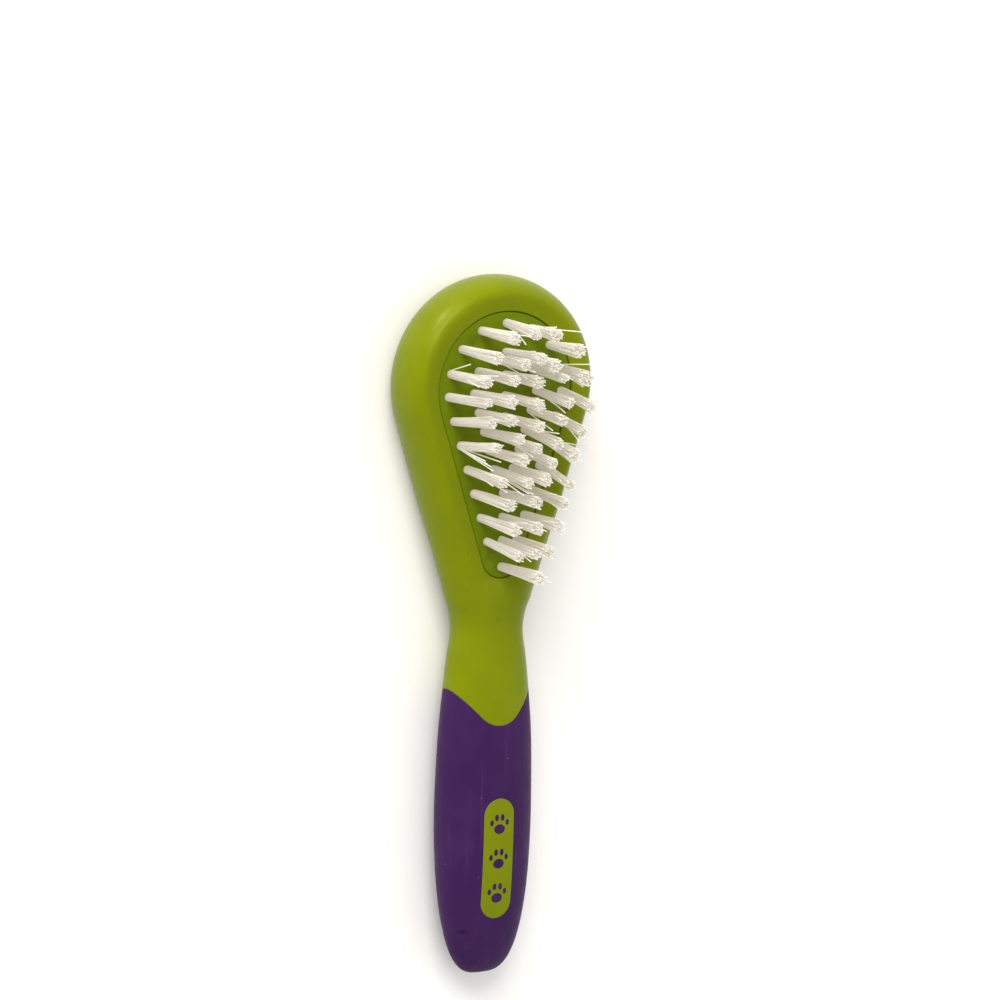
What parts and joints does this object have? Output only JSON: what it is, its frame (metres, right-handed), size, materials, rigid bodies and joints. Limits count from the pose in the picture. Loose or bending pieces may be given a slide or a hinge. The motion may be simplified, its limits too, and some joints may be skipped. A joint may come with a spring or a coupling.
{
  "type": "bristle brush",
  "caption": "Small hand brush for grooming a cat or small dog, with stapled bristle tufts in a teardrop head and a soft grip.",
  "frame": {"origin": "under the middle of the brush's length and width, on the plane its back rests on", "axes": "+Y from the butt of the handle to the tip of the head, +Z the way the bristles point, +X across"},
  "size_m": [0.043, 0.14, 0.025],
  "materials": {
    "body": "satin moulded",
    "pad": "fine matte moulded",
    "grip": "soft satin",
    "inlay": "soft satin",
    "bristle": "drawn nylon",
    "staple_wire": "drawn wire"
  },
  "bodies": {
    "root": {"badge_inlay": "inlay", "bristle_pad": "pad", "grip_sleeve": "grip", "handle_body": "body", "tuft_inner_01": "bristle", "tuft_inner_02": "bristle", "tuft_inner_03": "bristle", "tuft_inner_04": "bristle", "tuft_inner_05": "bristle", "tuft_inner_06": "bristle", "tuft_inner_07": "bristle", "tuft_inner_08": "bristle", "tuft_inner_09": "bristle", "tuft_inner_10": "bristle", "tuft_inner_11": "bristle", "tuft_inner_12": "bristle", "tuft_inner_13": "bristle", "tuft_inner_14": "bristle", "tuft_inner_15": "bristle", "tuft_middle_01": "bristle", "tuft_middle_02": "bristle", "tuft_middle_03": "bristle", "tuft_middle_04": "bristle", "tuft_middle_05": "bristle", "tuft_middle_06": "bristle", "tuft_middle_07": "bristle", "tuft_outer_01": "bristle", "tuft_outer_02": "bristle", "tuft_outer_03": "bristle", "tuft_outer_04": "bristle", "tuft_outer_05": "bristle", "tuft_outer_06": "bristle", "tuft_outer_07": "bristle", "tuft_outer_08": "bristle", "tuft_outer_09": "bristle", "tuft_outer_10": "bristle", "tuft_outer_11": "bristle", "tuft_outer_12": "bristle", "tuft_outer_13": "bristle", "tuft_outer_14": "bristle", "tuft_outer_15": "bristle", "tuft_outer_16": "bristle", "tuft_outer_17": "bristle", "tuft_outer_18": "bristle", "tuft_outer_19": "bristle", "tuft_outer_20": "bristle", "tuft_outer_21": "bristle", "tuft_outer_22": "bristle", "tuft_staples": "staple_wire"}
  },
  "joints": []
}
